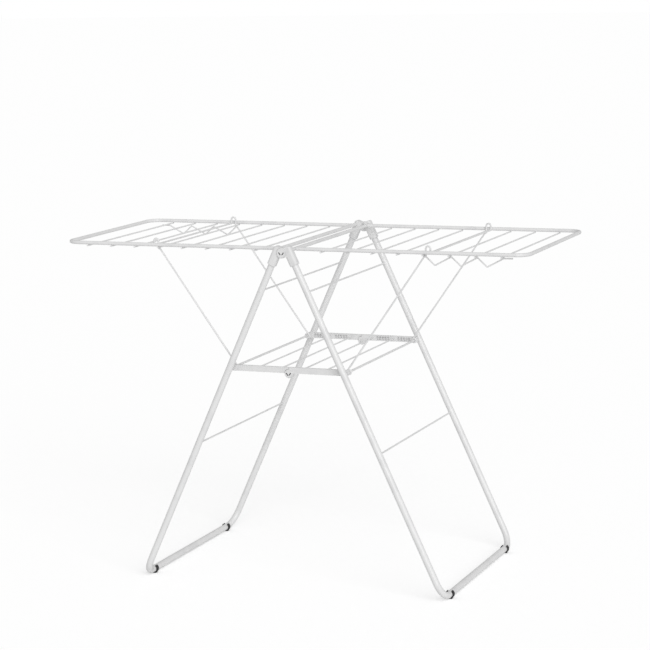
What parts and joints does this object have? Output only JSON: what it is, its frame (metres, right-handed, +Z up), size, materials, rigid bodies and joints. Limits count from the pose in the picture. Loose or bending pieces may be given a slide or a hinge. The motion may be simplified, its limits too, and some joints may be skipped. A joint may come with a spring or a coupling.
{
  "type": "clothes drying rack",
  "caption": "Free-standing folding clothes rack: crossed tube legs, two rod-filled wings held up by wire arms, a folding shelf and notched wires for hangers",
  "frame": {"origin": "middle of the footprint, on the floor", "axes": "+X along the wings, to the right in the picture; +Y away from the front; +Z up"},
  "size_m": [1.319, 0.6302, 0.9379],
  "materials": {
    "white_coat": "gloss white powder coat on steel tube and wire",
    "white_plastic": "moulded white plastic",
    "black_rubber": "matt black moulded clip"
  },
  "bodies": {
    "left_legs": {"left_leg_frame": "white_coat", "left_leg_cross_wire_upper": "white_coat", "left_leg_cross_wire_lower": "white_coat", "left_front_bracket": "white_plastic", "left_back_bracket": "white_plastic", "left_front_foot": "black_rubber", "left_back_foot": "black_rubber", "back_hinge_pin": "white_plastic"},
    "right_legs": {"right_leg_frame": "white_coat", "right_leg_cross_wire_upper": "white_coat", "right_leg_cross_wire_lower": "white_coat", "right_front_bracket": "white_plastic", "right_back_bracket": "white_plastic", "right_front_foot": "black_rubber", "right_back_foot": "black_rubber", "front_hinge_pin": "white_plastic"},
    "left_wing": {"left_wing_frame": "white_coat", "left_wing_axle": "white_coat", "left_hanger_wire": "white_coat", "left_wing_rod_1": "white_coat", "left_wing_rod_2": "white_coat", "left_wing_rod_3": "white_coat", "left_wing_rod_4": "white_coat", "left_wing_rod_5": "white_coat", "left_wing_rod_6": "white_coat", "left_wing_rod_7": "white_coat", "left_wing_rod_8": "white_coat"},
    "left_arm": {"left_wing_arm": "white_coat"},
    "left_shelf": {"left_shelf_front_bar": "white_plastic", "left_shelf_back_bar": "white_plastic", "left_shelf_pivot_rod": "white_coat", "left_shelf_wire_1": "white_coat", "left_shelf_wire_2": "white_coat", "back_shelf_pin": "white_plastic"},
    "right_wing": {"right_wing_frame": "white_coat", "right_wing_axle": "white_coat", "right_hanger_wire": "white_coat", "right_wing_rod_1": "white_coat", "right_wing_rod_2": "white_coat", "right_wing_rod_3": "white_coat", "right_wing_rod_4": "white_coat", "right_wing_rod_5": "white_coat", "right_wing_rod_6": "white_coat", "right_wing_rod_7": "white_coat", "right_wing_rod_8": "white_coat"},
    "right_arm": {"right_wing_arm": "white_coat"},
    "right_shelf": {"right_shelf_front_bar": "white_plastic", "right_shelf_back_bar": "white_plastic", "right_shelf_pivot_rod": "white_coat", "right_shelf_wire_1": "white_coat", "right_shelf_wire_2": "white_coat", "front_shelf_pin": "white_plastic"}
  },
  "joints": [
    {"name": "leg_hinge", "type": "hinge", "parent": "left_legs", "child": "right_legs", "pos_m": [0, 0, 0.913], "axis": [0, 1, 0], "range_deg": [0, 49.31]},
    {"name": "left_shelf_pivot", "type": "hinge", "parent": "left_legs", "child": "left_shelf", "pos_m": [-0.16344, 0, 0.596], "axis": [0, -1, 0], "range_deg": [0, 62.8]},
    {"name": "shelf_middle", "type": "hinge", "parent": "left_shelf", "child": "right_shelf", "pos_m": [0, 0, 0.587], "axis": [0, 1, 0], "range_deg": [0, 174.89]},
    {"name": "left_wing_axle_turn", "type": "hinge", "parent": "left_legs", "child": "left_wing", "pos_m": [-0.02, 0, 0.92], "axis": [0, -1, 0], "range_deg": [0, 59.75]},
    {"name": "left_arm_pivot", "type": "hinge", "parent": "left_legs", "child": "left_arm", "pos_m": [-0.16344, 0, 0.596], "axis": [0, -1, 0], "range_deg": [0, 119.62]},
    {"name": "right_wing_axle_turn", "type": "hinge", "parent": "right_legs", "child": "right_wing", "pos_m": [0.02, 0, 0.92], "axis": [0, 1, 0], "range_deg": [0, 59.75]},
    {"name": "right_arm_pivot", "type": "hinge", "parent": "right_legs", "child": "right_arm", "pos_m": [0.16344, 0, 0.596], "axis": [0, 1, 0], "range_deg": [0, 119.62]}
  ],
  "couplings": [
    {"joint": "left_shelf_pivot", "follows": "leg_hinge", "ratio": 1.2732},
    {"joint": "shelf_middle", "follows": "leg_hinge", "ratio": 3.5463},
    {"joint": "left_arm_pivot", "follows": "left_wing_axle_turn", "ratio": 2.0017},
    {"joint": "right_arm_pivot", "follows": "right_wing_axle_turn", "ratio": 2.0017}
  ]
}
